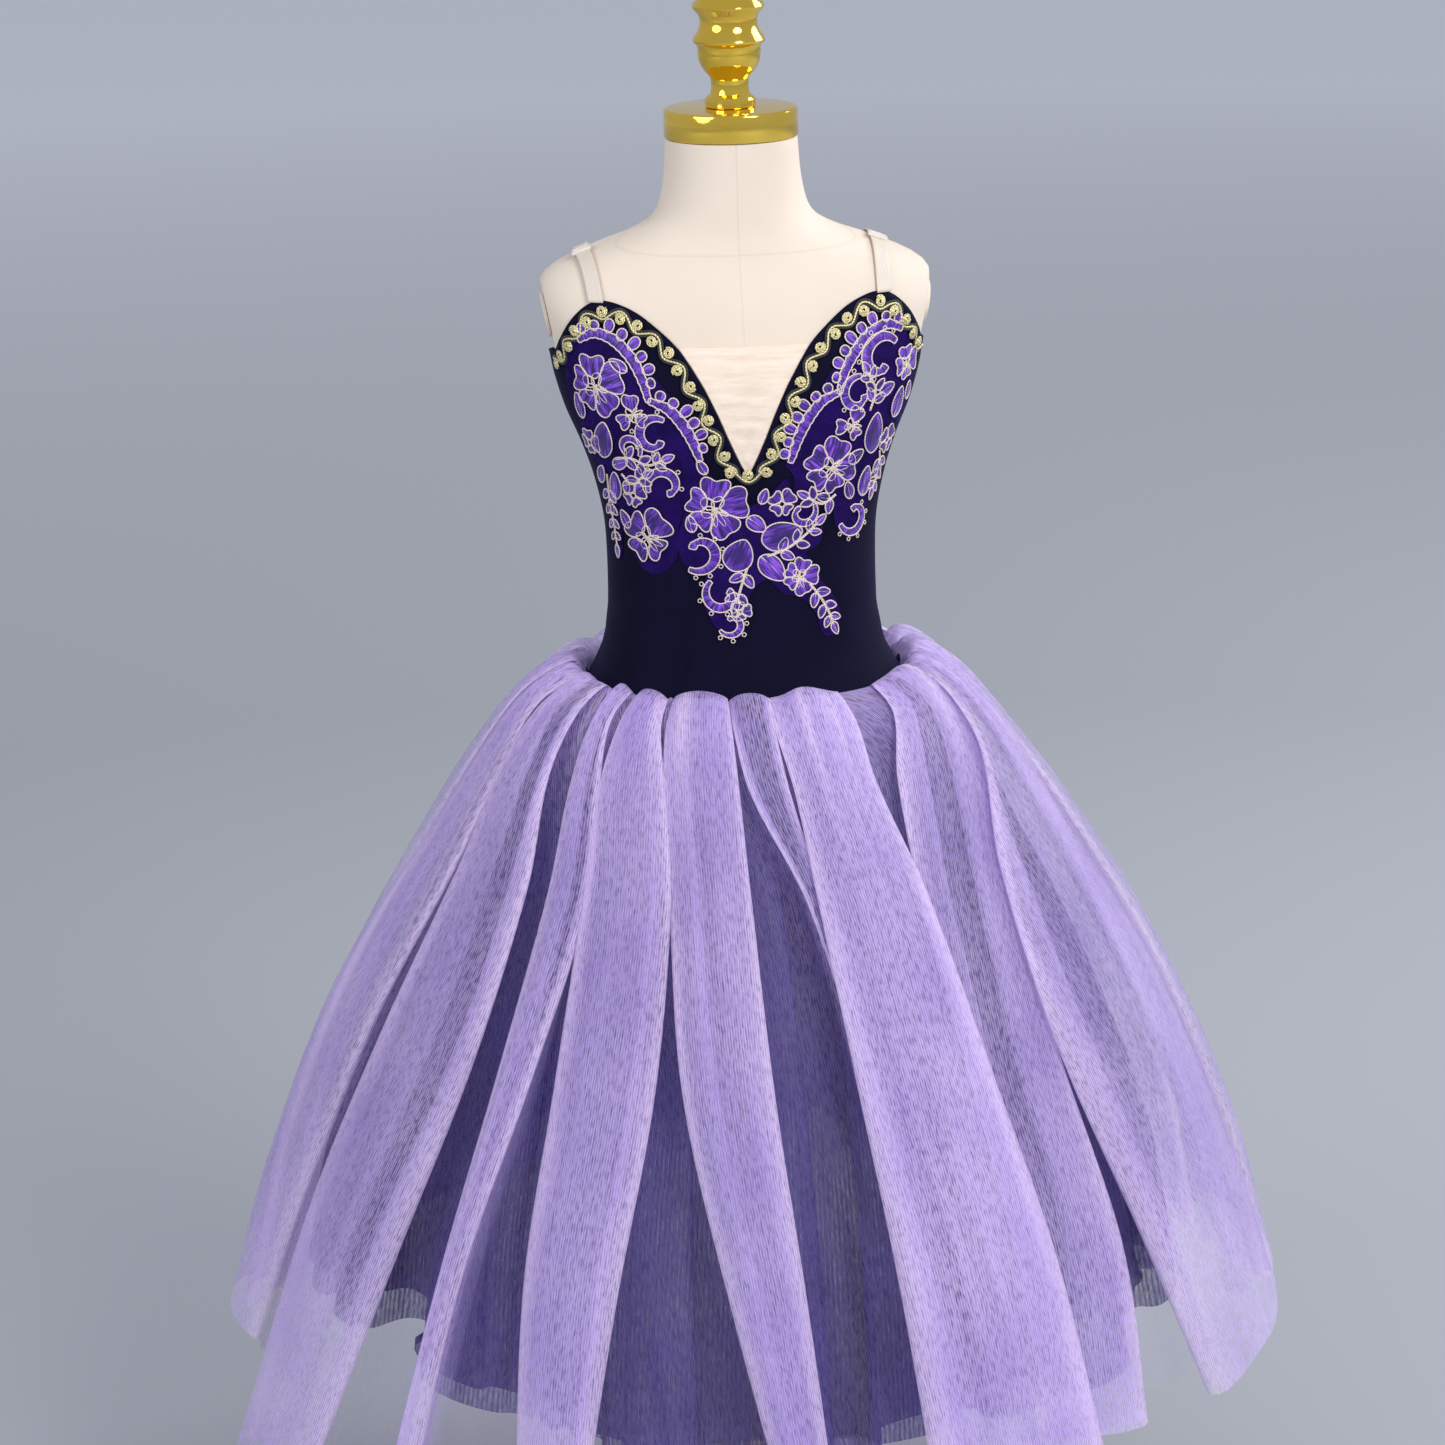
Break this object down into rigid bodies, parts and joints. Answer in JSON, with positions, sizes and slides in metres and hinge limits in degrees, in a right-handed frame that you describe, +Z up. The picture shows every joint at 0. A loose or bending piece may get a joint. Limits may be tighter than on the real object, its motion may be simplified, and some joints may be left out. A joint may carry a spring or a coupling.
{
  "type": "ballet dress on dress form",
  "caption": "Child's ballet dress with a V-neck bodice, corded floral lace, gold scroll braid and a long gathered tulle skirt, on an armless dress form with a round base.",
  "frame": {"origin": "on the floor, centre of the stand base's underside, on the form's upright axis", "axes": "+Z up, the dress's front faces -Y, +X towards the right-hand side seen from the front"},
  "size_m": [0.7509, 0.7519, 1.1806],
  "materials": {
    "form_cover": "smooth cream cotton cover over a padded form",
    "gold_metal": "polished gold plating",
    "bodice_velvet": "matt blue-black stretch fabric",
    "nude_mesh": "skin-tone stretch mesh in fine horizontal folds",
    "elastic": "smooth narrow elastic",
    "slider_plastic": "clear-white plastic",
    "braid_gold": "metallic gold cord with a black cord",
    "lace": "violet satin-stitch on deep purple net, outlined in champagne cord",
    "tulle_lilac": "soft lilac tulle, sheer",
    "tulle_navy": "navy tulle, sheer"
  },
  "bodies": {
    "root": {"form_torso": "form_cover", "form_arm_plate_left": "form_cover", "form_arm_plate_right": "form_cover", "form_neck_cap": "gold_metal", "form_finial": "gold_metal", "form_pole": "gold_metal", "form_base": "gold_metal", "bodice_front": "bodice_velvet", "bodice_back": "bodice_velvet", "neck_insert": "nude_mesh", "strap_left": "elastic", "strap_right": "elastic", "slider_left": "slider_plastic", "slider_right": "slider_plastic", "neckline_braid": "braid_gold", "lace_left": "lace", "lace_centre": "lace", "lace_right": "lace", "skirt_lilac": "tulle_lilac", "skirt_navy_outer": "tulle_navy", "skirt_navy_inner": "tulle_navy"}
  },
  "joints": []
}
